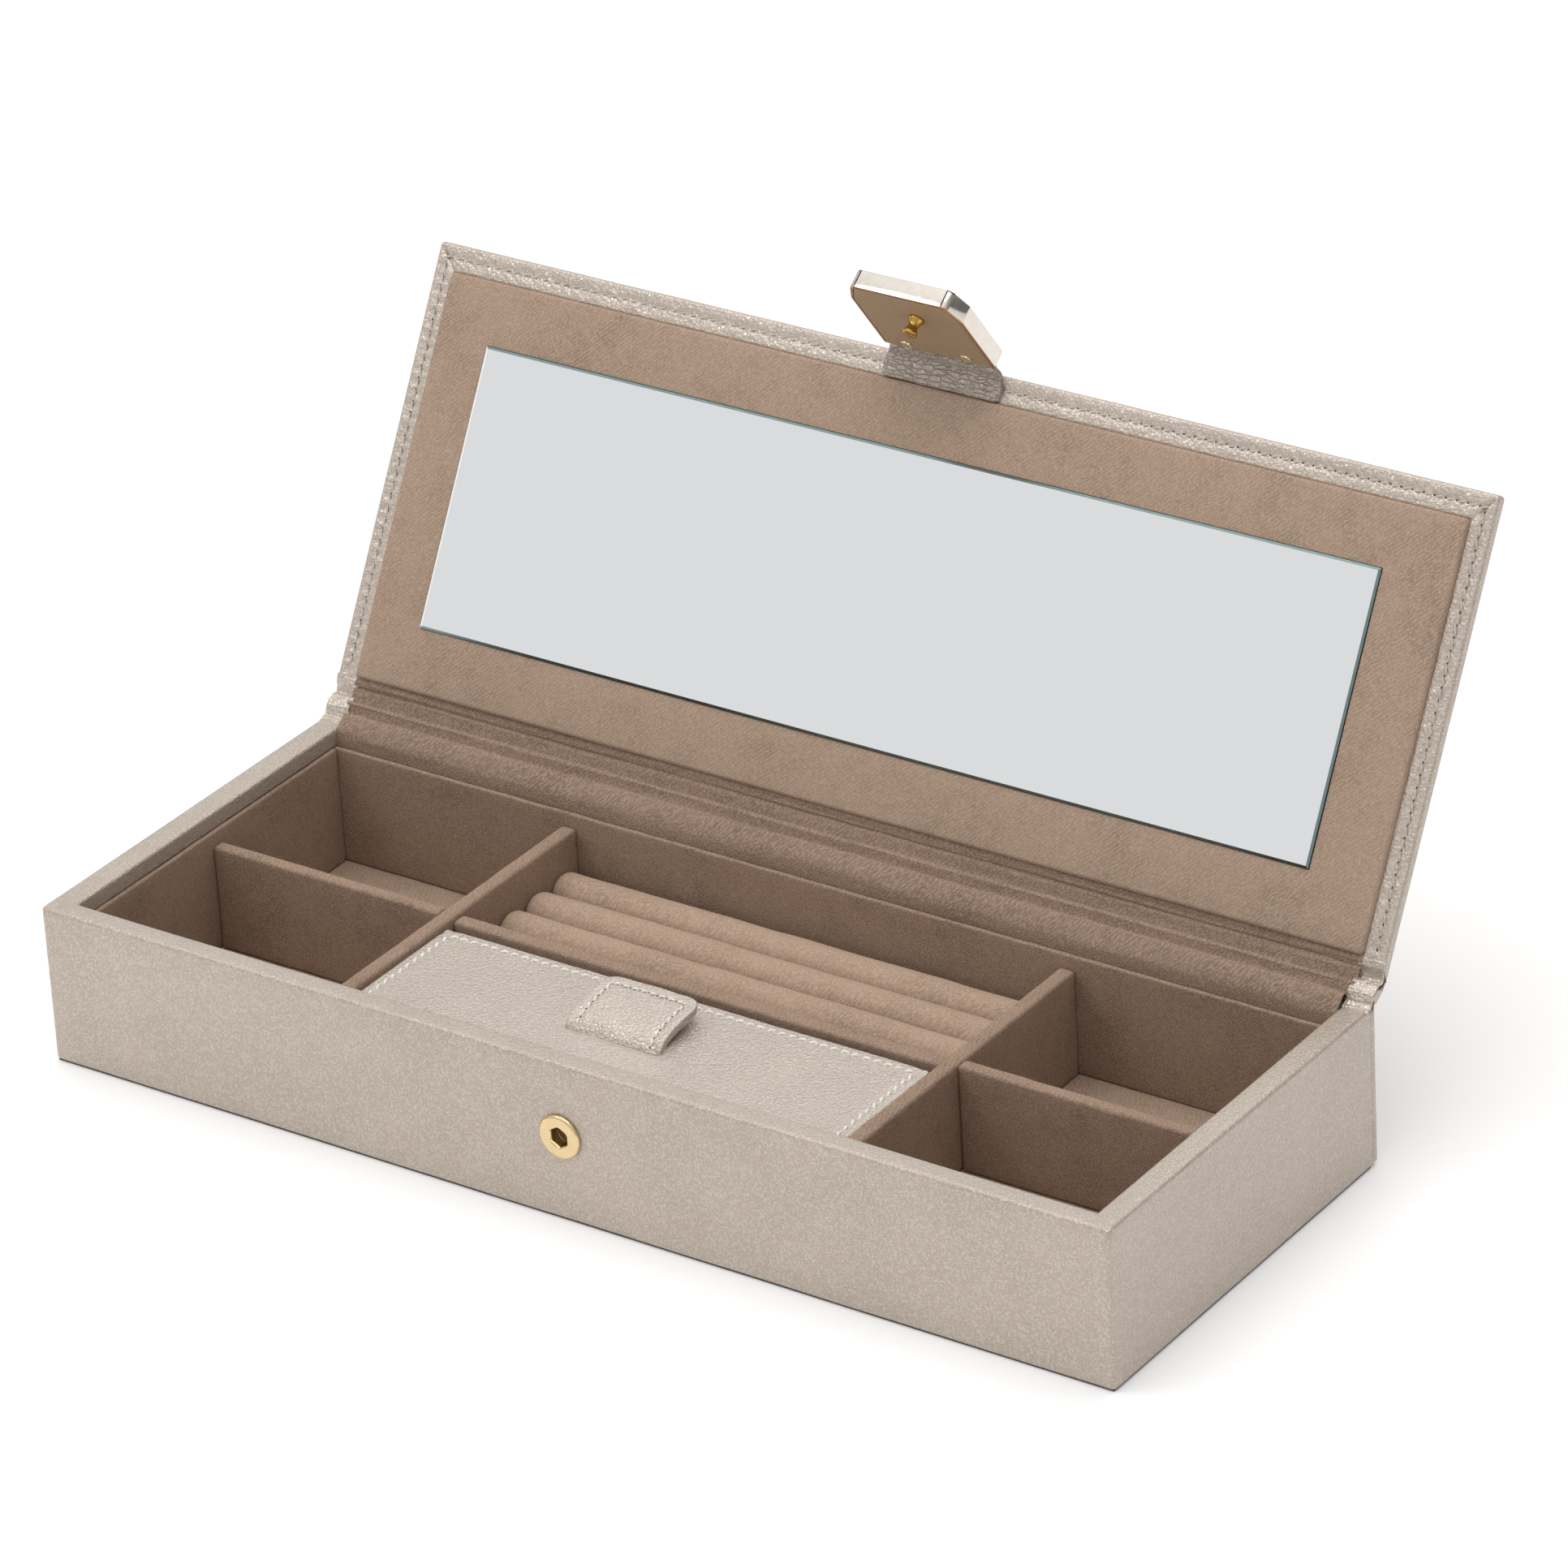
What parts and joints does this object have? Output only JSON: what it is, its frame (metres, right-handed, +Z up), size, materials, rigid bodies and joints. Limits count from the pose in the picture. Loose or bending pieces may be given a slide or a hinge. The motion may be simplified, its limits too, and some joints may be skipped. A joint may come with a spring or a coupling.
{
  "type": "jewellery box",
  "caption": "Flat leather-covered jewellery box with a mirrored lid on a folding hinge strip, suede compartments, ring rolls, a lidded bay and a snap clasp.",
  "frame": {"origin": "middle of the underside, on the surface the box stands on", "axes": "+X along the width, -Y to the front with the snap, +Z up; stored with the lid standing open"},
  "size_m": [0.318, 0.1877, 0.1841],
  "materials": {
    "pebbled_leather": "fine-pebbled pearlescent taupe faux leather",
    "smooth_leather": "smooth fine-grained taupe faux leather",
    "strap_leather": "creased grey-taupe faux leather",
    "clasp_leather": "thin warm brown lining leather",
    "suede": "mink-taupe suede cloth with a short nap",
    "felt": "matte underside sheet",
    "board": "grey fibreboard, hidden",
    "mirror": "silvered glass with a ground edge",
    "clasp_metal": "polished champagne plating",
    "stud_metal": "polished amber brass",
    "rivet_metal": "polished pale brass",
    "socket_metal": "satin pale gold plating",
    "spring_wire": "bright spring wire"
  },
  "bodies": {
    "base": {"base_leather": "pebbled_leather", "rear_cover_leather": "pebbled_leather", "front_wall_board": "board", "left_wall_board": "board", "right_wall_board": "board", "rear_wall_board": "board", "floor_board": "board", "rear_cover_board": "board", "underside_felt": "felt", "gusset_lining_base": "suede", "floor_liner": "suede", "rear_liner": "suede", "left_liner": "suede", "right_liner": "suede", "front_liner_left": "suede", "front_liner_right": "suede", "front_liner_centre": "suede", "long_divider_left": "suede", "long_divider_right": "suede", "cross_divider_left": "suede", "cross_divider_right": "suede", "centre_divider": "suede", "inner_lid_ledge_left": "suede", "inner_lid_ledge_right": "suede", "roll_bed": "suede", "ring_roll_1": "suede", "ring_roll_2": "suede", "ring_roll_3": "suede", "ring_roll_4": "suede", "snap_socket": "socket_metal", "snap_spring": "spring_wire", "inner_lid_hinge": "smooth_leather"},
    "inner_lid": {"inner_lid_board": "board", "inner_lid_leather": "smooth_leather", "inner_lid_lining": "suede"},
    "pull_tab_flap": {"pull_tab": "smooth_leather"},
    "hinge_strip": {"hinge_strip_leather": "pebbled_leather", "hinge_strip_core": "board", "hinge_strip_lining": "suede"},
    "lid": {"lid_board": "board", "lid_leather": "pebbled_leather", "lid_lining_panel": "suede", "mirror_backing": "board", "mirror_glass": "mirror", "gusset_lining_lid": "suede", "clasp_strap_root": "strap_leather"},
    "clasp": {"clasp_shell": "clasp_metal", "clasp_backing": "clasp_leather", "clasp_filler": "board", "clasp_strap_end": "strap_leather", "clasp_stud": "stud_metal", "clasp_rivet_1": "rivet_metal", "clasp_rivet_2": "rivet_metal"}
  },
  "joints": [
    {"name": "strip_fold", "type": "hinge", "parent": "base", "child": "hinge_strip", "pos_m": [0, 0.0604, 0.0439], "axis": [-1, 0, 0], "range_deg": [-59, 0]},
    {"name": "lid_fold", "type": "hinge", "parent": "hinge_strip", "child": "lid", "pos_m": [0, 0.0658, 0.04714], "axis": [-1, 0, 0], "range_deg": [-60.66, 0]},
    {"name": "clasp_fold", "type": "hinge", "parent": "lid", "child": "clasp", "pos_m": [0, 0.12243, 0.15932], "axis": [-1, 0, 0], "range_deg": [-23, 77]},
    {"name": "inner_lid_hinge_fold", "type": "hinge", "parent": "base", "child": "inner_lid", "pos_m": [0, -0.0524, 0.035], "axis": [1, 0, 0], "range_deg": [0, 90]},
    {"name": "pull_tab_flex", "type": "hinge", "parent": "inner_lid", "child": "pull_tab_flap", "pos_m": [0, -0.031, 0.0352], "axis": [1, 0, 0], "range_deg": [0, 40], "stiffness_Nm_per_rad": 0.004}
  ]
}
